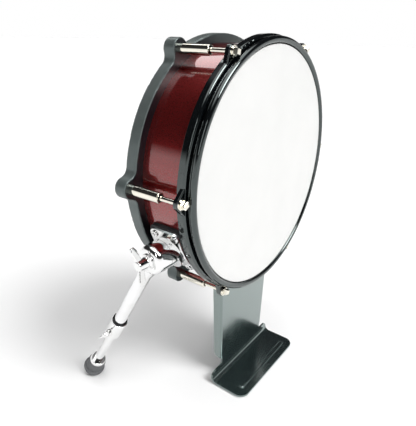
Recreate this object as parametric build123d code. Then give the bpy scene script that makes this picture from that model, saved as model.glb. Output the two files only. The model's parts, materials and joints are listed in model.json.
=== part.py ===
from build123d import *
import os
from math import acos, cos, degrees, radians, sin

# An electronic kick-drum pad with its pedal stand and two telescopic spurs.
# Millimetres. +X is to the right as the player sees the drum, +Y runs from the batter head
# to the back, +Z is up. The floor is Z = 0. The origin is on the floor under the drum's axis,
# 3.5 mm behind the playing surface.

# Driving dimensions
AXIS_HEIGHT = 310.0        # the drum's axis above the floor
BOLT_RADIUS = 165.0        # circle of the tension rods
ROD_COUNT = 6
SHELL_OUTER = 149.5
SHELL_WALL = 5.5
RING_FRONT = 74.0          # front face of the rear ring
RING_BACK = 90.5
RING_OUTER = 160.0
SEAT_DEPTH = 4.5           # depth of the hoop's ears, where the washers sit
HEAD_DEPTH = -3.5          # playing surface
SPUR_ANGLE = 210.0         # where the left spur bracket sits on the shell
SPUR_DEPTH = 45.0
LEG_OFFSET = 164.0         # the leg swings in this plane, left or right of the middle
LEG_TILT = 29.9            # the leg's lean from the vertical
STAND_FACE = 21.0          # front face of the stand's upright
SHEET = 2.5                # stand sheet thickness
PLATE_HALF_WIDTH = 77.0

# Sizes that follow from them
SHELL_INNER = SHELL_OUTER - SHELL_WALL
HUB_HEIGHT = AXIS_HEIGHT + SHELL_OUTER * sin(radians(SPUR_ANGLE))
ROD_ANGLES = [index * 360.0 / ROD_COUNT for index in range(ROD_COUNT)]
BASE = (Align.CENTER, Align.CENTER, Align.MIN)
DRUM = Plane(origin=(0, 0, AXIS_HEIGHT), x_dir=(1, 0, 0), z_dir=(0, 1, 0))
HUB = Plane(origin=(0, SPUR_DEPTH, HUB_HEIGHT), x_dir=(0, 1, 0), z_dir=(-1, 0, 0))
LEG_DOWN = Vector(0, sin(radians(LEG_TILT)), -cos(radians(LEG_TILT)))
LEG = Plane(origin=(-LEG_OFFSET, SPUR_DEPTH, HUB_HEIGHT), x_dir=(1, 0, 0), z_dir=LEG_DOWN)


# Shapes that several pieces share

def outline(points, rounds=None):
    """A closed flat face, with some of its corners rounded: {corner number: radius}."""
    face = make_face(Polyline(*points, close=True))
    for number, radius in (rounds or {}).items():
        x, y = points[number]
        face = fillet(face.vertices().sort_by_distance((x, y, 0))[0], radius)
    return face


def turned(points, rounds=None, place=DRUM):
    """A solid of revolution about a plane's normal, from (radius, height) points."""
    return place.location * revolve(Plane.XZ * outline(points, rounds), Axis.Z)


def rod(place, radius, start, end):
    """A round bar along a plane's normal."""
    return place.location * Pos(0, 0, start) * Cylinder(radius, end - start, align=BASE)


def tube(place, inner, outer, start, end):
    return rod(place, outer, start, end) - rod(place, inner, start, end)


def hexagon(place, across_flats, start, end):
    nut = extrude(RegularPolygon(across_flats / 2, 6, major_radius=False), end - start)
    return place.location * Pos(0, 0, start) * nut


def outward(angle):
    return Vector(cos(radians(angle)), 0, sin(radians(angle)))


def spun(place, turn):
    """The same plane, turned about its own normal."""
    return Plane(place.location * Rot(0, 0, turn))


def at_bolt(angle):
    """A plane on a tension rod's axis, at zero depth, facing the back."""
    origin = outward(angle) * BOLT_RADIUS + Vector(0, 0, AXIS_HEIGHT)
    return Plane(origin=origin, x_dir=outward(angle), z_dir=(0, 1, 0))


def radial(angle, depth):
    """A plane on the drum's axis that faces outward at an angle: X runs along the depth."""
    return Plane(origin=(0, depth, AXIS_HEIGHT), x_dir=(0, 1, 0), z_dir=outward(angle))


def wrapped(angle, depth, size, corner, inner, outer):
    """A rounded rectangle wrapped round the drum between two radii: size is (depth, arc)."""
    block = radial(angle, depth).location * extrude(RectangleRounded(*size, corner), outer + 10)
    return block & tube(DRUM, inner, outer, depth - size[0], depth + size[0])


def slotted(place, radius, height, slot_width, slot_depth):
    """A low round screw head with a cross slot, standing on a plane."""
    head = turned([(0, 0), (radius, 0), (radius, height), (0, height)], {2: height * 0.35}, place)
    for slot in (Box(radius * 1.3, slot_width, slot_depth * 2),
                 Box(slot_width, radius * 1.3, slot_depth * 2)):
        head -= place.location * Pos(0, 0, height) * slot
    return head


def group(solids):
    return Compound(children=list(solids))


def mirrored(shape):
    return mirror(shape, about=Plane.YZ)


nodes = {}

# Shell and rear ring

SHELL_BACK = RING_FRONT + 4.0
RING_BORE = 140.0
COVER_RADIUS = 146.0
COVER_FRONT = 87.5
LOBE_RADIUS = 12.0
HOLLOW_RADIUS = 11.0       # the hollow beside each lobe
LUG_SCREW = 2.9


def make_shell():
    edge = HEAD_DEPTH + 0.4
    shell = turned([(SHELL_INNER, edge + 4.5), (SHELL_OUTER - 2.0, edge), (SHELL_OUTER, edge + 1.2),
                    (SHELL_OUTER, SHELL_BACK), (SHELL_INNER, SHELL_BACK)], {1: 0.8})
    for place, radius in shell_holes:
        shell -= rod(place, radius, SHELL_INNER - 4, SHELL_OUTER + 4)
    return shell


def lobed_plan():
    """The ring's outline: an arc between lobes, and each lobe blended into it by a hollow arc."""
    reach = RING_OUTER + HOLLOW_RADIUS
    gap = LOBE_RADIUS + HOLLOW_RADIUS
    turn = degrees(acos((reach ** 2 + BOLT_RADIUS ** 2 - gap ** 2) / (2 * reach * BOLT_RADIUS)))
    centre = Vector(reach, 0).rotate(Axis.Z, turn)
    lobe = Vector(BOLT_RADIUS, 0)
    foot = Vector(RING_OUTER, 0).rotate(Axis.Z, turn)
    joint = lobe + (centre - lobe).normalized() * LOBE_RADIUS
    middle = centre + (foot + joint - centre * 2).normalized() * HOLLOW_RADIUS
    tip = Vector(BOLT_RADIUS + LOBE_RADIUS, 0)
    rest = Vector(RING_OUTER, 0).rotate(Axis.Z, 180 / ROD_COUNT)
    next_foot = Vector(RING_OUTER, 0).rotate(Axis.Z, 360 / ROD_COUNT - turn)
    below = [Vector(point.X, -point.Y) for point in (foot, middle, joint)]
    period = [ThreePointArc(*below), ThreePointArc(below[2], tip, joint),
              ThreePointArc(joint, middle, foot), ThreePointArc(foot, rest, next_foot)]
    return make_face([Rot(0, 0, angle) * arc for angle in ROD_ANGLES for arc in period])


def make_rear_ring():
    plan = lobed_plan()
    ring = DRUM.location * Pos(0, 0, RING_FRONT) * extrude(plan, RING_BACK - RING_FRONT)
    rims = ring.edges().group_by(Axis.Y)
    ring = fillet(rims[0], 1.5)
    ring = fillet(ring.edges().group_by(Axis.Y)[-1], 2.5)
    ring -= rod(DRUM, RING_BORE, RING_FRONT, RING_BACK)
    ring -= rod(DRUM, SHELL_OUTER, RING_FRONT, SHELL_BACK)
    ring -= rod(DRUM, COVER_RADIUS, COVER_FRONT, RING_BACK)
    for side in (0, 180):
        ring += wrapped(side, 82.0, (6.0, 30.0), 0.5, 122.0, RING_BORE + 1)
    for angle in ROD_ANGLES:
        ring -= rod(at_bolt(angle), LUG_SCREW + 0.2, RING_FRONT, RING_BACK)
        ring -= rod(at_bolt(angle), 6.0, RING_BACK - 5.0, RING_BACK)
    for place in cover_screw_places:
        ring -= rod(place, 1.5, COVER_FRONT - 8, RING_BACK)
    for place in crossbar_screw_places:
        ring -= rod(place, 2.0, 79.0, 84.0)
    return ring


def drum_point(radius, angle):
    """A plane at zero depth, parallel to the drum's axis and facing the back."""
    origin = outward(angle) * radius + Vector(0, 0, AXIS_HEIGHT)
    return Plane(origin=origin, x_dir=(1, 0, 0), z_dir=(0, 1, 0))


cover_screw_places = [drum_point(143.0, angle + 30.0) for angle in ROD_ANGLES]
crossbar_screw_places = [drum_point(130.0, angle) for angle in (0, 180)]

# Rear cover with its jack

JACK_DROP = 78.0
JACK = Plane(origin=(0, 0, AXIS_HEIGHT - JACK_DROP), x_dir=(1, 0, 0), z_dir=(0, 1, 0))
COVER_FACE = RING_BACK + 3.0


def make_rear_cover():
    cover = turned([(0, COVER_FRONT), (COVER_RADIUS, COVER_FRONT), (COVER_RADIUS, RING_BACK),
                    (131, RING_BACK), (127, COVER_FACE), (0, COVER_FACE)], {3: 1.5, 4: 2.0, 2: 0.8})
    for radius in (112.0, 52.0):
        cover -= tube(DRUM, radius, radius + 2.5, COVER_FACE - 1.2, COVER_FACE)
    for angle in range(0, 360, 30):
        groove = Pos(82, 0, COVER_FACE - 0.6) * Box(44, 2.5, 1.2)
        if angle != 90:
            cover -= DRUM.location * Rot(0, 0, angle) * groove
    cover -= JACK.location * Pos(0, 0, COVER_FACE - 1.6) * extrude(RectangleRounded(40, 30, 4), 2)
    cover -= rod(JACK, 4.8, COVER_FRONT, COVER_FACE)
    for place in cover_screw_places:
        cover -= rod(place, 1.5, COVER_FRONT, RING_BACK)
    return cover


def make_cover_screws():
    screws = []
    for place in cover_screw_places:
        head = slotted(place.offset(RING_BACK), 2.7, 1.6, 0.7, 0.9)
        screws.append(head + rod(place, 1.5, COVER_FRONT - 7, RING_BACK))
    return group(screws)


def make_jack_plate():
    plate = extrude(RectangleRounded(40, 30, 4), 1.6)
    plate = JACK.location * Pos(0, 0, COVER_FACE - 1.6) * plate
    for x in (-15, 15):
        plate += slotted(JACK.offset(COVER_FACE).shift_origin(
            (x, COVER_FACE, AXIS_HEIGHT - JACK_DROP)), 2.4, 1.2, 0.7, 0.6)
    return plate - rod(JACK, 4.8, COVER_FACE - 2, COVER_FACE + 2)


def make_output_jack():
    body = JACK.location * Pos(0, 0, 66) * extrude(RectangleRounded(18, 18, 2), COVER_FRONT - 66)
    jack = body + rod(JACK, 4.8, COVER_FRONT, COVER_FACE + 5)
    jack += hexagon(JACK, 13, COVER_FACE, COVER_FACE + 2.5)
    return jack - rod(JACK, 3.2, 70, COVER_FACE + 6)


# Trigger inside the shell

CROSSBAR_BACK = 79.0
PLATE_BACK = 31.0


def make_crossbar():
    bar = DRUM.location * Pos(0, 0, CROSSBAR_BACK - 2.5) * extrude(RectangleRounded(276, 28, 8), 2.5)
    for place in crossbar_screw_places:
        bar -= rod(place, 2.0, CROSSBAR_BACK - 3, CROSSBAR_BACK + 1)
    return bar


def make_crossbar_screws():
    screws = []
    for place in crossbar_screw_places:
        front = CROSSBAR_BACK - 2.5
        screws.append(rod(place, 4.0, front - 2.4, front) + rod(place, 2.0, front, 84.0))
    return group(screws)


def make_sensor_post():
    return turned([(17, PLATE_BACK + 3), (26, PLATE_BACK + 3), (26, PLATE_BACK + 6), (20, PLATE_BACK + 9),
                   (20, 72), (27, 74), (27, CROSSBAR_BACK - 2.5), (17, CROSSBAR_BACK - 2.5)], {3: 2})


# Batter head and hoop

WALL_INNER = 151.5
WALL_OUTER = 153.8
SKIRT_INNER = 158.7
SKIRT_OUTER = 161.0
FLANGE_BACK = SEAT_DEPTH + 2.3


def make_head_skin():
    collar = SHELL_OUTER + 0.6
    film = 0.4
    back = FLANGE_BACK + film
    return turned([(0, HEAD_DEPTH), (collar, HEAD_DEPTH), (collar, FLANGE_BACK), (155.5, FLANGE_BACK),
                   (155.5, back), (collar - film, back), (collar - film, HEAD_DEPTH + film),
                   (0, HEAD_DEPTH + film)], {1: 0.5})


def make_flesh_hoop():
    front = FLANGE_BACK + 0.4
    return turned([(150.3, front), (156.0, front), (156.0, front + 5), (150.3, front + 5)], {2: 1, 3: 1})


def make_batter_hoop():
    lip_radius, lip_depth, lip_round = 155.0, -2.4, 3.85
    section = outline([(WALL_INNER, lip_depth), (WALL_INNER, FLANGE_BACK), (SKIRT_INNER, FLANGE_BACK),
                       (SKIRT_INNER, 15.0), (SKIRT_OUTER, 15.0), (SKIRT_OUTER, SEAT_DEPTH),
                       (WALL_OUTER, SEAT_DEPTH), (WALL_OUTER, lip_depth)],
                      {5: 3.2, 6: 1.2, 4: 0.8, 2: 0.9})
    section += Pos(lip_radius, lip_depth) * Circle(lip_round)
    hoop = DRUM.location * Rot(0, 0, 30) * revolve(Plane.XZ * section, Axis.Z)
    tip = Pos(BOLT_RADIUS - 0.5, 0) * Circle(7.6)
    root = Pos(SKIRT_OUTER - 2.0, 0) * Rectangle(2.0, 30.0)
    plan = make_hull(tip.edges() + root.edges())
    ear = Pos(0, 0, SEAT_DEPTH) * extrude(plan, 5.5)
    outer_rim = [edge for edge in ear.edges().group_by(Axis.Z)[0]
                 if edge.center().X > SKIRT_OUTER - 0.5]
    ear = fillet(outer_rim, 1.4)
    pocket = Pos(0, 0, FLANGE_BACK) * extrude(offset(plan, -2.2), 5.0)
    ear -= pocket - Cylinder(SKIRT_OUTER - 0.6, 60)
    ear -= Cylinder(SKIRT_OUTER - 1.2, 60)
    for angle in ROD_ANGLES:
        hoop += DRUM.location * Rot(0, 0, angle) * ear
    for angle in ROD_ANGLES:
        hoop -= rod(at_bolt(angle), 3.5, 0, 20)
    return hoop


# Tension rods, washers and tube lugs

ROD_RADIUS = 2.75
ROD_END = 52.0
WASHER_FRONT = SEAT_DEPTH - 1.3
BARREL_FRONT = 33.0
BARREL_RADIUS = 6.0
BARREL_BORE = 4.2


def make_tension_rod(angle, turn):
    place = spun(at_bolt(angle), turn)
    collar_front = WASHER_FRONT - 1.5
    collar = turned([(0, collar_front), (5.2, collar_front), (5.2, WASHER_FRONT), (0, WASHER_FRONT)],
                    {1: 0.5}, place)
    square = chamfer(Box(6.4, 6.4, 4.5, align=BASE).faces().sort_by(Axis.Z)[0].edges(), 0.5)
    square = place.location * Pos(0, 0, collar_front - 4.5) * square
    shank = turned([(0, WASHER_FRONT), (ROD_RADIUS, WASHER_FRONT), (ROD_RADIUS, ROD_END - 0.8),
                    (ROD_RADIUS - 0.8, ROD_END), (0, ROD_END)], place=place)
    return collar + square + shank


def make_tube_lug(angle):
    place = at_bolt(angle)
    return turned([(BARREL_BORE, BARREL_FRONT), (BARREL_RADIUS, BARREL_FRONT), (BARREL_RADIUS, RING_FRONT),
                   (LUG_SCREW, RING_FRONT), (LUG_SCREW, 58), (BARREL_BORE, 58)], {1: 0.8}, place)


def make_lug_screw(angle):
    place = at_bolt(angle)
    head = slotted(place.offset(RING_BACK - 5.0), 5.2, 3.6, 1.2, 1.6)
    return head + rod(place, LUG_SCREW, 61, RING_BACK - 5.0)


# Spur brackets and legs: the left one is drawn, the right one is its mirror image

HUB_RADIUS = 18.0
HUB_FACE = 153.5            # distance of the fixed hub's end face from the middle
HEAD_INNER = 154.0
HEAD_OUTER = 175.5
STEM_RADIUS = 4.0
STEM_START = 138.5          # just clear of the gasket
WING_TURN = -71.0           # the wing bolt's blades stand nearly upright, leaning back
TUBE_RADIUS = 8.0
TUBE_END = 150.0
COLLAR_TOP = 132.5
COLLAR_END = 164.0
SCREW_AT = 155.0            # how far down the leg the collar's screw is
INNER_ROD = 6.0
FOOT_TOP = 237.0
FOOT_RIM = 15.0
FOOT_ROUND = 1.6
GASKET_OUTER = SHELL_OUTER + 4.5
BRACKET_OUTER = GASKET_OUTER + 3.0
spur_screw_places = [radial(SPUR_ANGLE + turn, SPUR_DEPTH + shift)
                     for turn in (-9.6, 9.6) for shift in (-14.5, 14.5)]


def make_spur_gasket():
    pad = wrapped(SPUR_ANGLE, SPUR_DEPTH, (47, 70), 9, SHELL_OUTER, GASKET_OUTER)
    for place in spur_screw_places:
        pad -= rod(place, 2.5, SHELL_OUTER - 2, GASKET_OUTER + 2)
    return pad


def make_spur_base():
    base = wrapped(SPUR_ANGLE, SPUR_DEPTH, (43, 66), 8, GASKET_OUTER, BRACKET_OUTER)
    pedestal = radial(SPUR_ANGLE, SPUR_DEPTH).location * Pos(0, 0, 140) * Cone(21, 19, 24, align=BASE)
    pedestal += rod(HUB, HUB_RADIUS, 100, HUB_FACE)
    base += pedestal - rod(DRUM, GASKET_OUTER, 0, 90) - rod(HUB, 60, HUB_FACE, 200)
    base -= rod(HUB, STEM_RADIUS + 0.05, 128, HUB_FACE + 1)
    for place in spur_screw_places:
        base -= rod(place, 2.5, GASKET_OUTER - 2, BRACKET_OUTER + 2)
        base -= rod(place, 4.6, BRACKET_OUTER, BRACKET_OUTER + 20)
    return base


def make_spur_base_screws():
    return group(slotted(place.offset(BRACKET_OUTER), 4.4, 1.8, 0.9, 1.0)
                 + rod(place, 2.5, SHELL_INNER + 0.5, BRACKET_OUTER) for place in spur_screw_places)


def make_leg_head():
    dome = turned([(0, HEAD_INNER), (HUB_RADIUS, HEAD_INNER), (HUB_RADIUS, HEAD_OUTER),
                   (0, HEAD_OUTER)], {2: 7.5}, HUB)
    neck_radius = TUBE_RADIUS + 1.8
    neck = turned([(0, 0), (neck_radius, 0), (neck_radius, 24), (0, 24)], {2: 0.9}, LEG)
    head = dome + neck
    head -= rod(HUB, STEM_RADIUS + 0.05, HEAD_INNER - 1, HEAD_OUTER + 1)
    return head - rod(LEG, TUBE_RADIUS, 13, 30)


def make_leg_tube():
    return rod(LEG, TUBE_RADIUS, 13, TUBE_END) - rod(LEG, INNER_ROD + 0.6, 20, TUBE_END)


def make_tube_bushing():
    flange_top = COLLAR_TOP - 1.4
    return turned([(TUBE_RADIUS, flange_top), (10.0, flange_top), (10.0, COLLAR_TOP),
                   (9.2, COLLAR_TOP), (9.2, 148.0), (TUBE_RADIUS, 148.0)], {1: 0.6}, LEG)


def make_clamp_collar():
    collar = turned([(9.2, COLLAR_TOP), (11.0, COLLAR_TOP), (11.0, COLLAR_END), (INNER_ROD + 0.06, COLLAR_END),
                     (INNER_ROD + 0.06, TUBE_END), (9.2, TUBE_END)], {1: 0.8, 2: 1.6}, LEG)
    boss = rod(COLLAR_SCREW, 5.0, 8.0, 13.5)
    boss -= rod(LEG, 9.0, COLLAR_TOP, COLLAR_END)
    return collar + boss - rod(COLLAR_SCREW, 2.55, 4.0, 20.0)


COLLAR_SCREW = Plane(origin=LEG.origin + LEG_DOWN * SCREW_AT, x_dir=(0, 1, 0), z_dir=(-1, 0, 0))


def wings(place, boss, reach, start, width, thickness):
    """Two rounded blades on a boss, for turning a screw by hand."""
    half = outline([(boss * 0.4, start), (reach - width * 0.45, start + width * 0.42),
                    (reach, start + width * 0.75), (reach - width * 0.1, start + width * 1.25),
                    (reach - width * 0.6, start + width * 1.35), (boss * 0.4, start + width * 0.8)],
                   {1: width * 0.3, 2: width * 0.2, 3: width * 0.2, 4: width * 0.3})
    blade = extrude(Plane.XZ * half, thickness / 2, both=True)
    blade = fillet(blade.edges().filter_by(Axis.Y, reverse=True), thickness * 0.3)
    return place.location * (blade + mirror(blade, about=Plane.YZ))


def make_wing_bolt():
    place = spun(HUB, WING_TURN)
    bolt = rod(place, STEM_RADIUS, STEM_START, HEAD_OUTER + 14)
    bolt += turned([(0, HEAD_OUTER + 0.02), (9.5, HEAD_OUTER + 0.02), (9.5, HEAD_OUTER + 1.8),
                    (6.5, HEAD_OUTER + 3.0), (5.6, HEAD_OUTER + 16), (0, HEAD_OUTER + 16)],
                   {1: 0.5, 2: 0.5, 4: 1.5}, place)
    return bolt + wings(place, 6.0, 22.5, HEAD_OUTER + 7.0, 9.0, 3.2)


def make_collar_screw():
    place = spun(COLLAR_SCREW, 40)
    screw = rod(place, 2.5, INNER_ROD + 0.1, 18)
    screw += turned([(0, 13.6), (3.6, 13.6), (3.2, 19.5), (0, 19.5)], {2: 0.8}, place)
    return screw + wings(place, 3.4, 10.5, 15.0, 5.0, 2.2)


def make_inner_rod():
    return turned([(0, 72), (INNER_ROD, 72), (INNER_ROD, FOOT_TOP + 12), (0, FOOT_TOP + 12)], {1: 0.8}, LEG)


def make_foot_cup():
    return turned([(INNER_ROD, FOOT_TOP), (10.2, FOOT_TOP), (11.2, FOOT_TOP + 2.5), (11.2, FOOT_TOP + 5),
                   (INNER_ROD, FOOT_TOP + 5)], {1: 0.8, 2: 0.6}, LEG)


def make_rubber_foot():
    """The foot's lower rim is rounded, and its lowest point just meets the floor."""
    lean = radians(LEG_TILT)
    rim_centre_drop = (FOOT_RIM - FOOT_ROUND) * sin(lean) + FOOT_ROUND
    sole = (HUB_HEIGHT - rim_centre_drop) / cos(lean) + FOOT_ROUND
    top = FOOT_TOP + 5
    foot = turned([(0, top), (11.6, top), (12.2, top + 2), (12.2, sole - 4.6), (FOOT_RIM, sole - 3.6),
                   (FOOT_RIM, sole), (0, sole)], {1: 0.6, 3: 1.0, 4: 0.6, 5: FOOT_ROUND}, LEG)
    return foot - rod(LEG, INNER_ROD, top - 1, FOOT_TOP + 12)


# Pedal stand

PAD_THICKNESS = 1.0
PLATE_TOP = PAD_THICKNESS + SHEET
PLATE_FRONT = -32.0
RIB_PLACE = -18.0
RIB_LENGTH = 125.0
RIB_WIDTH = 7.6
RIB_RISE = 2.0
BEND = 7.0
LIP_TOP = 18.0
NECK_HALF_WIDTH = 53.0
FLANGE_LOW = 30.0
FLANGE_BACK_EDGE = 33.0
SADDLE_INNER = SHELL_OUTER + 1.5
SADDLE_OUTER = SADDLE_INNER + SHEET
STAND_ANGLE = 270.0
stand_screw_places = [radial(STAND_ANGLE + turn, depth) for turn in (-11, 11) for depth in (42, 60)]


def make_pedal_stand():
    face, back = STAND_FACE, STAND_FACE + SHEET
    side = outline([(PLATE_FRONT, PAD_THICKNESS), (PLATE_FRONT, PLATE_TOP), (face, PLATE_TOP),
                    (face, 60), (back, 60), (back, PAD_THICKNESS)],
                   {2: BEND, 5: BEND + SHEET})
    sheet = extrude(Plane.YZ * side, PLATE_HALF_WIDTH, both=True)
    front = outline([(-PLATE_HALF_WIDTH, 0), (-PLATE_HALF_WIDTH, LIP_TOP), (-NECK_HALF_WIDTH, LIP_TOP),
                     (-NECK_HALF_WIDTH, 60), (NECK_HALF_WIDTH, 60), (NECK_HALF_WIDTH, LIP_TOP),
                     (PLATE_HALF_WIDTH, LIP_TOP), (PLATE_HALF_WIDTH, 0)],
                    {1: 9, 6: 9, 2: 3, 5: 3})
    sheet &= extrude(Plane.XZ * front, 60, both=True)
    plan = outline([(-PLATE_HALF_WIDTH, PLATE_FRONT), (-PLATE_HALF_WIDTH, 60), (PLATE_HALF_WIDTH, 60),
                    (PLATE_HALF_WIDTH, PLATE_FRONT)], {0: 14, 3: 14})
    sheet &= extrude(plan, 80)
    upright = loft([channel(56.5, FLANGE_LOW), channel(62.5, 180)])
    flange_side = outline([(STAND_FACE - 5, FLANGE_LOW), (FLANGE_BACK_EDGE, FLANGE_LOW),
                           (FLANGE_BACK_EDGE + 3, 190), (STAND_FACE - 5, 190)], {1: 9})
    upright &= extrude(Plane.YZ * flange_side, 80, both=True)
    stand = sheet + upright - rod(DRUM, SADDLE_OUTER, 0, 90)
    rib = Pos(0, RIB_PLACE, PLATE_TOP - 1) * extrude(SlotOverall(RIB_LENGTH, RIB_WIDTH), RIB_RISE + 1)
    rib = fillet(rib.edges().group_by(Axis.Z)[-1], RIB_RISE - 0.1)
    return stand + rib


def channel(half_width, height):
    """The upright's section: a front wall with a flange bent back along each side."""
    face, back, edge = STAND_FACE, STAND_FACE + SHEET, FLANGE_BACK_EDGE + 3
    inner = half_width - SHEET
    section = outline([(-half_width, edge), (-half_width, face), (half_width, face), (half_width, edge),
                       (inner, edge), (inner, back), (-inner, back), (-inner, edge)],
                      {1: 3.2, 2: 3.2, 5: 0.8, 6: 0.8})
    return Pos(0, 0, height) * section


def make_stand_saddle():
    saddle = wrapped(STAND_ANGLE, 45, (50, 112), 8, SADDLE_INNER, SADDLE_OUTER)
    for place in stand_screw_places:
        saddle -= rod(place, 3.0, SADDLE_INNER - 3, SADDLE_OUTER + 3)
    return saddle


def make_saddle_pad():
    pad = wrapped(STAND_ANGLE, 45, (50, 112), 8, SHELL_OUTER, SADDLE_INNER)
    for place in stand_screw_places:
        pad -= rod(place, 3.0, SHELL_OUTER - 3, SADDLE_INNER + 3)
    return pad


def make_stand_screws():
    """Each head stands on a small spot face that fills the saddle's curve."""
    screws = []
    for place in stand_screw_places:
        head = slotted(place.offset(SADDLE_OUTER + 0.2), 5.5, 3.0, 1.2, 1.4)
        foot = rod(place, 5.5, SADDLE_OUTER - 2, SADDLE_OUTER + 0.2) - rod(DRUM, SADDLE_OUTER, 0, 90)
        screws.append(head + foot + rod(place, 3.0, SHELL_INNER - 6, SADDLE_OUTER + 0.2))
    return group(screws)


def make_stand_nuts():
    return group(hexagon(place, 10, SHELL_INNER - 5.2, SHELL_INNER - 0.4)
                 - rod(place, 3.0, SHELL_INNER - 8, SHELL_INNER) for place in stand_screw_places)


def make_base_pad():
    return Pos(0, (PLATE_FRONT + 14) / 2, 0) * extrude(RectangleRounded(144, 40, 8), PAD_THICKNESS)


shell_holes = [(place, 2.5) for place in spur_screw_places]
shell_holes += [(radial(180 - SPUR_ANGLE + turn, SPUR_DEPTH + shift), 2.5)
                for turn in (-9.6, 9.6) for shift in (-14.5, 14.5)]
shell_holes += [(place, 3.0) for place in stand_screw_places]

nodes["shell"] = make_shell()
nodes["rear_ring"] = make_rear_ring()
nodes["rear_cover"] = make_rear_cover()
nodes["cover_screws"] = make_cover_screws()
nodes["jack_plate"] = make_jack_plate()
nodes["output_jack"] = make_output_jack()
nodes["sensor_crossbar"] = make_crossbar()
nodes["crossbar_screws"] = make_crossbar_screws()
nodes["sensor_post"] = make_sensor_post()
nodes["isolation_ring"] = tube(DRUM, 17, 26, PLATE_BACK, PLATE_BACK + 3)
nodes["trigger_plate"] = rod(DRUM, 45, PLATE_BACK - 2.5, PLATE_BACK)
nodes["piezo_sensor"] = rod(DRUM, 13.5, PLATE_BACK, PLATE_BACK + 0.6)
nodes["foam_column"] = rod(DRUM, 32, HEAD_DEPTH + 0.8, PLATE_BACK - 2.5)
nodes["head_skin"] = make_head_skin()
nodes["flesh_hoop"] = make_flesh_hoop()
nodes["batter_hoop"] = make_batter_hoop()
nodes["tube_lugs"] = group(make_tube_lug(angle) for angle in ROD_ANGLES)
nodes["lug_bushings"] = group(tube(at_bolt(angle), ROD_RADIUS + 0.08, BARREL_BORE, BARREL_FRONT + 0.6, 38)
                              for angle in ROD_ANGLES)
nodes["lug_inserts"] = group(tube(at_bolt(angle), ROD_RADIUS + 0.05, BARREL_BORE, 41, 56)
                             for angle in ROD_ANGLES)
nodes["lug_screws"] = group(make_lug_screw(angle) for angle in ROD_ANGLES)
nodes["rod_washers"] = group(tube(at_bolt(angle), ROD_RADIUS + 0.08, 6.2, WASHER_FRONT, SEAT_DEPTH)
                             for angle in ROD_ANGLES)
for index, angle in enumerate(ROD_ANGLES):
    nodes[f"tension_rod_{index + 1}"] = make_tension_rod(angle, 20.0 * index)
nodes["pedal_stand"] = make_pedal_stand()
nodes["stand_saddle"] = make_stand_saddle()
nodes["saddle_pad"] = make_saddle_pad()
nodes["stand_screws"] = make_stand_screws()
nodes["stand_nuts"] = make_stand_nuts()
nodes["base_pad"] = make_base_pad()

spur_makers = {
    "spur_gasket": make_spur_gasket, "spur_base": make_spur_base, "spur_base_screws": make_spur_base_screws,
    "leg_head": make_leg_head, "wing_bolt": make_wing_bolt, "leg_tube": make_leg_tube,
    "tube_bushing": make_tube_bushing, "clamp_collar": make_clamp_collar, "collar_screw": make_collar_screw,
    "inner_rod": make_inner_rod, "foot_cup": make_foot_cup, "rubber_foot": make_rubber_foot}
for name, make in spur_makers.items():
    piece = make()
    nodes[f"left_{name}"] = piece
    nodes[f"right_{name}"] = mirrored(piece)

os.makedirs("parts", exist_ok=True)
for name, shape in nodes.items():
    export_step(shape, f"parts/{name}.step")
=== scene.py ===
import json
import math

import bmesh
import bpy
from mathutils import Matrix, Vector


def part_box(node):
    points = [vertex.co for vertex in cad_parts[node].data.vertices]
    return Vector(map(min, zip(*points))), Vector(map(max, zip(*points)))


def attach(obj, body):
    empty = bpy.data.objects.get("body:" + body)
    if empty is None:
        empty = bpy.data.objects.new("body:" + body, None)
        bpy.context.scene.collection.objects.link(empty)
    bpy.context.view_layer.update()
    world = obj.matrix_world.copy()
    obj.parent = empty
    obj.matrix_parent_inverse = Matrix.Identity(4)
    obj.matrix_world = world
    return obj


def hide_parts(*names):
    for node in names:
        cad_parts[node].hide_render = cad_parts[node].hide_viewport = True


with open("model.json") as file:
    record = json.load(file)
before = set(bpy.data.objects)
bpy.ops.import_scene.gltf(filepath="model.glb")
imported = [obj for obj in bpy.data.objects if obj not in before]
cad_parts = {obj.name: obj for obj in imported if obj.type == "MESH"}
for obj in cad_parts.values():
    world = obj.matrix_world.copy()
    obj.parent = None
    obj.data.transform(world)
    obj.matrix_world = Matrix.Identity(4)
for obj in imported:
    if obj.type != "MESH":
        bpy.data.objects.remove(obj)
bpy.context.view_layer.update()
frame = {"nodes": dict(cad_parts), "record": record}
nodes = frame["nodes"]


# Camera

def make_camera():
    """Front left and above the drum, rolled slightly."""
    data = bpy.data.cameras.new("camera")
    data.lens = 36.34
    data.sensor_width = 36.0
    data.clip_start = 0.02
    data.clip_end = 60.0
    camera = bpy.data.objects.new("camera", data)
    bpy.context.scene.collection.objects.link(camera)

    place = Vector((-0.47283, -0.25363, 0.4694))
    back = Vector((-0.7448, -0.5444, 0.3859)).normalized()
    level = Vector((0.5901, -0.8073, 0.0)).normalized()
    roll = math.radians(1.35)
    across = math.cos(roll) * level + math.sin(roll) * back.cross(level)
    above = back.cross(across)
    turn = Matrix((across, above, back)).transposed()
    camera.matrix_world = Matrix.Translation(place) @ turn.to_4x4()
    bpy.context.scene.camera = camera


# Material building blocks

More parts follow.
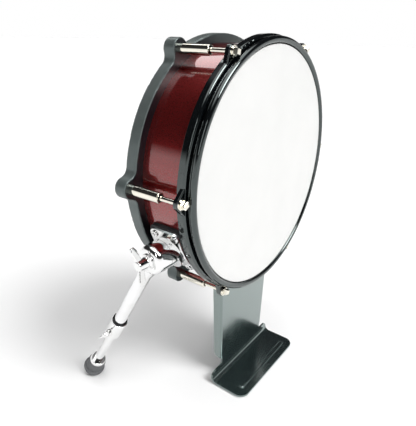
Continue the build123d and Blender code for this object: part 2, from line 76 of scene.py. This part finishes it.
class Finish:
    """A Principled material whose colour, roughness and bump come from noise in object space."""

    def __init__(self, name, **sockets):
        self.material = bpy.data.materials.new(name)
        self.material.use_nodes = True
        self.tree = self.material.node_tree
        self.shader = self.tree.nodes["Principled BSDF"]
        self.place = self.tree.nodes.new("ShaderNodeTexCoord").outputs["Object"]
        for socket, value in sockets.items():
            self.shader.inputs[socket.replace("_", " ")].default_value = value
        self.normal = None

    def link(self, source, target):
        self.tree.links.new(source, target)

    def stretched(self, scale):
        """Object space, scaled unevenly so that a pattern draws out along one axis."""
        mapping = self.tree.nodes.new("ShaderNodeMapping")
        mapping.inputs["Scale"].default_value = scale
        self.link(self.place, mapping.inputs["Vector"])
        return mapping.outputs["Vector"]

    def noise(self, scale, detail=3.0, stretch=None):
        node = self.tree.nodes.new("ShaderNodeTexNoise")
        node.inputs["Scale"].default_value = scale
        node.inputs["Detail"].default_value = detail
        self.link(self.stretched(stretch) if stretch else self.place, node.inputs["Vector"])
        return node.outputs["Fac"]

    def cells(self, scale, output="Distance"):
        node = self.tree.nodes.new("ShaderNodeTexVoronoi")
        node.inputs["Scale"].default_value = scale
        self.link(self.place, node.inputs["Vector"])
        return node.outputs[output]

    def ramp(self, source, stops):
        """Turn a grey value into a colour, through (position, colour) stops."""
        node = self.tree.nodes.new("ShaderNodeValToRGB")
        ramp = node.color_ramp
        while len(ramp.elements) < len(stops):
            ramp.elements.new(0.5)
        for element, (position, colour) in zip(ramp.elements, stops):
            element.position = position
            element.color = (*colour, 1.0)
        self.link(source, node.inputs["Fac"])
        return node.outputs["Color"]

    def colour(self, source, stops):
        self.link(self.ramp(source, stops), self.shader.inputs["Base Color"])
        return self

    def roughness(self, source, low, high):
        """Vary the roughness between two values over the middle of the noise's range."""
        node = self.tree.nodes.new("ShaderNodeMapRange")
        node.inputs["To Min"].default_value = low
        node.inputs["To Max"].default_value = high
        node.inputs["From Min"].default_value = 0.3
        node.inputs["From Max"].default_value = 0.7
        self.link(source, node.inputs["Value"])
        self.link(node.outputs["Result"], self.shader.inputs["Roughness"])
        return self

    def bump(self, source, distance, strength=0.5):
        """Add relief on top of any relief that is there already."""
        node = self.tree.nodes.new("ShaderNodeBump")
        node.inputs["Distance"].default_value = distance
        node.inputs["Strength"].default_value = strength
        self.link(source, node.inputs["Height"])
        if self.normal:
            self.link(self.normal, node.inputs["Normal"])
        self.normal = node.outputs["Normal"]
        self.link(self.normal, self.shader.inputs["Normal"])
        return self


def lacquer():
    """Metallic burgundy under a clear gloss coat, with fine flake and a faint ply ripple."""
    f = Finish("burgundy_lacquer", Metallic=0.8, Coat_Weight=1.0, Coat_Roughness=0.015, Coat_IOR=1.75)
    flake = f.cells(3200.0, "Color")
    f.colour(flake, [(0.0, (0.205, 0.007, 0.007)), (0.55, (0.215, 0.008, 0.008)),
                     (1.0, (0.24, 0.010, 0.011))])
    f.roughness(f.noise(900.0), 0.24, 0.36)
    return f.bump(f.noise(14.0, 2.0, (1.0, 0.35, 1.0)), 0.00006, 0.2).material


def gloss_black(name, low, high, ior):
    """Sprayed enamel, almost smooth."""
    f = Finish(name, IOR=ior, Specular_Tint=(0.88, 1.0, 0.98, 1.0))
    f.colour(f.noise(60.0), [(0.3, (0.0012, 0.0016, 0.0022)), (0.7, (0.0022, 0.003, 0.004))])
    f.roughness(f.noise(80.0), low, high)
    return f.bump(f.noise(700.0, 1.0), 0.000004, 0.1).material


def ring_plastic():
    """Moulded ring: a dark grey rim that scatters light, and the face towards the head painted black as
    painted shade.
    """
    f = Finish("ring_plastic", IOR=1.65, Specular_Tint=(0.85, 1.0, 1.0, 1.0))
    rim = f.ramp(f.noise(60.0), [(0.3, (0.068, 0.082, 0.080)), (0.7, (0.086, 0.100, 0.098))])
    # painted shade: the face towards the head is coloured near black, standing in for the shade that falls
    # on it
    painted_shade_face = (0.0015, 0.002, 0.004, 1.0)

    # The face, where the surface looks along -Y, is painted black as painted shade; the rim starts with the
    # rounded edge
    normal = f.tree.nodes.new("ShaderNodeSeparateXYZ")
    f.link(f.tree.nodes["Texture Coordinate"].outputs["Normal"], normal.inputs["Vector"])
    on_rim = f.tree.nodes.new("ShaderNodeMapRange")
    on_rim.inputs["From Min"].default_value = -0.985
    on_rim.inputs["From Max"].default_value = -0.92
    f.link(normal.outputs["Y"], on_rim.inputs["Value"])

    # A colour mix shares its sockets' names with the other kinds of mix, so they go by identifier
    mix = f.tree.nodes.new("ShaderNodeMix")
    mix.data_type = "RGBA"
    sockets = {socket.identifier: socket for socket in (*mix.inputs, *mix.outputs)}
    f.link(on_rim.outputs["Result"], sockets["Factor_Float"])
    sockets["A_Color"].default_value = painted_shade_face
    f.link(rim, sockets["B_Color"])
    f.link(sockets["Result_Color"], f.shader.inputs["Base Color"])
    f.roughness(f.noise(80.0), 0.30, 0.36)
    return f.bump(f.noise(1800.0, 2.0), 0.00003, 0.3).material


def moulded_black(name):
    """Textured black plastic."""
    f = Finish(name, IOR=1.4)
    f.colour(f.noise(90.0), [(0.3, (0.004, 0.0045, 0.005)), (0.7, (0.008, 0.009, 0.010))])
    f.roughness(f.noise(160.0), 0.24, 0.38)
    return f.bump(f.noise(2400.0, 2.0), 0.00005, 0.35).material


def powder_coat():
    """Smooth, glossy powder coat with a slight green-grey cast."""
    f = Finish("stand_powder_coat", IOR=2.6, Coat_Weight=0.9, Coat_Roughness=0.14, Coat_IOR=1.9,
               Specular_Tint=(0.86, 1.0, 0.97, 1.0), Coat_Tint=(0.9, 1.0, 0.98, 1.0))
    f.colour(f.noise(45.0), [(0.3, (0.004, 0.007, 0.008)), (0.7, (0.008, 0.012, 0.014))])
    f.roughness(f.noise(70.0), 0.19, 0.25)
    return f.bump(f.noise(700.0, 1.0), 0.000004, 0.1).material


def chrome(name, dull, bright):
    """Mirror plating: faint clouding in its colour and its gloss."""
    f = Finish(name, Metallic=1.0)
    f.colour(f.noise(30.0), [(0.3, dull), (0.7, bright)])
    f.roughness(f.noise(120.0), 0.03, 0.10)
    return f.bump(f.noise(400.0, 1.0), 0.000003, 0.1).material


def zinc():
    """Zinc plate with small crystals."""
    f = Finish("zinc_plate", Metallic=1.0)
    f.colour(f.cells(700.0, "Color"), [(0.0, (0.46, 0.47, 0.49)), (1.0, (0.62, 0.63, 0.64))])
    f.roughness(f.noise(260.0), 0.24, 0.4)
    return f.bump(f.noise(900.0), 0.00005, 0.2).material


def brass():
    """Turned brass, with the tool's fine lines."""
    f = Finish("machined_brass", Metallic=1.0)
    f.colour(f.noise(120.0), [(0.3, (0.55, 0.36, 0.12)), (0.7, (0.72, 0.50, 0.20))])
    f.roughness(f.noise(300.0), 0.18, 0.34)
    return f.bump(f.noise(1200.0, 2.0, (0.05, 1.0, 1.0)), 0.00004, 0.3).material


def aluminium():
    """Brushed aluminium."""
    f = Finish("brushed_aluminium", Metallic=1.0)
    f.colour(f.noise(90.0), [(0.3, (0.62, 0.63, 0.64)), (0.7, (0.74, 0.75, 0.76))])
    f.roughness(f.noise(700.0, 2.0, (1.0, 0.05, 1.0)), 0.22, 0.36)
    return f.bump(f.noise(900.0, 2.0, (1.0, 0.04, 1.0)), 0.00004, 0.3).material


def coated_head():
    """A sprayed white coating: fine grain, a slight unevenness, soft sheen."""
    f = Finish("coated_head", IOR=1.5)
    f.colour(f.noise(18.0, 4.0), [(0.3, (0.725, 0.727, 0.716)), (0.7, (0.755, 0.755, 0.744))])
    f.roughness(f.noise(500.0), 0.38, 0.52)
    f.bump(f.noise(26.0, 2.0), 0.0002, 0.15)
    return f.bump(f.noise(2200.0, 2.0), 0.00008, 0.35).material


def rubber(name, dark, light):
    """Matte rubber with a fine grain."""
    f = Finish(name, IOR=1.5)
    f.colour(f.noise(80.0, 4.0), [(0.3, dark), (0.7, light)])
    f.roughness(f.noise(300.0), 0.55, 0.75)
    return f.bump(f.noise(1400.0, 3.0), 0.0001, 0.4).material


def black_oxide():
    """Blackened steel."""
    f = Finish("black_oxide", Metallic=0.8)
    f.colour(f.noise(200.0), [(0.3, (0.02, 0.02, 0.022)), (0.7, (0.05, 0.05, 0.052))])
    f.roughness(f.noise(500.0), 0.3, 0.45)
    return f.bump(f.noise(1500.0), 0.00004, 0.25).material


def foam():
    """Open cells, each a small pit, its colour darkened towards the bottom as painted shade."""
    f = Finish("grey_foam", Sheen_Weight=0.3, Sheen_Roughness=0.6)
    cells = f.cells(900.0)
    # painted shade: the colour is darkest at each cell's centre, where the pit is deepest
    f.colour(cells, [(0.0, (0.035, 0.036, 0.04)), (0.5, (0.11, 0.112, 0.12)), (1.0, (0.16, 0.162, 0.17))])
    f.roughness(f.noise(300.0), 0.85, 0.98)
    f.bump(f.noise(60.0), 0.0006, 0.4)
    return f.bump(cells, 0.0005, 0.8).material


materials = {
    "shell": lacquer(),
    "hoop_black": gloss_black("hoop_enamel", 0.05, 0.10, 1.9),
    "ring_black": ring_plastic(),
    "cover_black": moulded_black("cover_plastic"),
    "head_white": coated_head(),
    "chrome": chrome("bright_chrome", (0.80, 0.80, 0.79), (0.90, 0.905, 0.91)),
    "zinc_steel": zinc(),
    "black_screw": black_oxide(),
    "brass": brass(),
    "aluminium": aluminium(),
    "nylon_black": moulded_black("black_nylon"),
    "rubber_black": rubber("black_rubber", (0.012, 0.012, 0.013), (0.022, 0.022, 0.024)),
    "rubber_grey": rubber("grey_rubber", (0.10, 0.105, 0.11), (0.15, 0.155, 0.16)),
    "foam": foam(),
    "stand_black": powder_coat(),
}

# The lugs, rods and their washers are plated in a warmer tone than the spurs
warm_nickel = chrome("warm_nickel", (0.80, 0.77, 0.68), (0.93, 0.89, 0.79))

for part in frame["record"]["subparts"]:
    name = part["node"]
    fitting = name in ("tube_lugs", "rod_washers") or name.startswith("tension_rod_")
    mesh = nodes[name].data
    mesh.materials.clear()
    mesh.materials.append(warm_nickel if fitting else materials[part["material_slot"]])


# Foam column: a crowned, slightly waisted block that the head's pressure has settled

def make_ring(mesh, axis, radius, y, count=72):
    """A circle of points about the drum's axis, at depth y."""
    turns = [math.tau * i / count for i in range(count)]
    return [mesh.verts.new((axis.x + radius * math.cos(turn), y, axis.z + radius * math.sin(turn)))
            for turn in turns]


def bridge(mesh, first, second):
    """Quads between two rings with the same number of points."""
    for i, point in enumerate(first):
        j = (i + 1) % len(first)
        mesh.faces.new((point, first[j], second[j], second[i]))


def make_foam_block():
    low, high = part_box("foam_column")
    axis = (low + high) / 2
    radius = (high.x - low.x) / 2
    depth = high.y - low.y
    waist = 0.06
    edge_depth = 0.003
    edge_drop = 0.0012
    steps = 24

    mesh = bmesh.new()
    rings = []
    for step in range(steps + 1):
        share = step / steps
        narrowing = waist * math.sin(math.pi * share) ** 2
        rounding = max(0.0, 1 - min(share, 1 - share) * depth / edge_depth)
        ring_radius = radius * (1 - narrowing) - edge_drop * rounding ** 2
        rings.append(make_ring(mesh, axis, ring_radius, low.y + share * depth))
    for first, second in zip(rings, rings[1:]):
        bridge(mesh, first, second)

    end_radius = radius - edge_drop
    for ring, y in ((rings[0], low.y), (rings[-1], high.y)):
        outer = ring
        for share in (0.9, 0.6, 0.3):
            inner = make_ring(mesh, axis, end_radius * share, y)
            bridge(mesh, outer, inner)
            outer = inner
        mesh.faces.new(outer)
    bmesh.ops.recalc_face_normals(mesh, faces=mesh.faces)

    data = bpy.data.meshes.new("foam_block")
    mesh.to_mesh(data)
    mesh.free()
    data.shade_smooth()
    data.materials.append(materials["foam"])
    block = bpy.data.objects.new("foam_block", data)
    bpy.context.scene.collection.objects.link(block)
    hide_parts("foam_column")
    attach(block, "drum")


make_foam_block()


# Studio

def make_floor():
    f = Finish("studio_floor", Roughness=0.9, IOR=1.3)
    f.colour(f.noise(3.0), [(0.3, (0.94, 0.94, 0.94)), (0.7, (0.96, 0.96, 0.96))])
    reach = 25
    corners = [(-reach, -reach, 0), (reach, -reach, 0), (reach, reach, 0), (-reach, reach, 0)]
    mesh = bpy.data.meshes.new("studio_floor")
    mesh.from_pydata(corners, [], [(0, 1, 2, 3)])
    mesh.materials.append(f.material)
    floor = bpy.data.objects.new("studio_floor", mesh)
    floor.location.z = -0.0002  # just under the rubber, so that the two never coincide
    bpy.context.scene.collection.objects.link(floor)


def make_softbox(name, place, target, width, height, power):
    data = bpy.data.lights.new(name, "AREA")
    data.shape = "RECTANGLE"
    data.size = width
    data.size_y = height
    data.energy = power
    light = bpy.data.objects.new(name, data)
    light.location = place
    light.rotation_mode = "QUATERNION"
    light.rotation_quaternion = (Vector(target) - Vector(place)).to_track_quat("-Z", "Y")
    bpy.context.scene.collection.objects.link(light)


def make_key_light():
    """A broad, distant source in front and above: it whitens the floor, and its soft shadow falls behind."""
    data = bpy.data.lights.new("key_light", "SUN")
    data.energy = 2.35
    data.angle = math.radians(28)
    light = bpy.data.objects.new("key_light", data)
    light.rotation_mode = "QUATERNION"
    travel = Vector((-0.10, 0.66, -0.74))
    light.rotation_quaternion = travel.to_track_quat("-Z", "Y")
    bpy.context.scene.collection.objects.link(light)


def make_world():
    """White round the horizon and overhead, with a dim band between, so that bright metal has contrast.

    The dim band shows in reflections only: the backdrop itself is white.
    """
    world = bpy.data.worlds.new("studio")
    bpy.context.scene.world = world
    world.use_nodes = True
    tree = world.node_tree
    place = tree.nodes.new("ShaderNodeTexCoord").outputs["Generated"]
    split = tree.nodes.new("ShaderNodeSeparateXYZ")
    ramp = tree.nodes.new("ShaderNodeValToRGB")
    levels = [(0.0, 1.0), (0.13, 1.0), (0.26, 0.028), (0.80, 0.025), (0.90, 1.9)]
    while len(ramp.color_ramp.elements) < len(levels):
        ramp.color_ramp.elements.new(0.5)
    for element, (height, level) in zip(ramp.color_ramp.elements, levels):
        element.position = height
        element.color = (level, level, level, 1.0)
    tree.links.new(place, split.inputs["Vector"])
    tree.links.new(split.outputs["Z"], ramp.inputs["Fac"])
    backdrop = tree.nodes.new("ShaderNodeMath")
    backdrop.operation = "MAXIMUM"
    seen = tree.nodes.new("ShaderNodeLightPath").outputs["Is Camera Ray"]
    tree.links.new(seen, backdrop.inputs[0])
    tree.links.new(ramp.outputs["Color"], backdrop.inputs[1])
    tree.links.new(backdrop.outputs["Value"], tree.nodes["Background"].inputs["Color"])


bpy.context.scene.view_settings.view_transform = "Standard"
make_floor()
make_world()
make_key_light()
make_softbox("back_softbox", (0.75, 1.4, 2.1), (0, 0, 0.4), 0.9, 0.5, 4)
make_softbox("side_softbox", (-1.9, -0.9, 1.5), (0, 0, 0.3), 0.25, 1.1, 5)
make_camera()
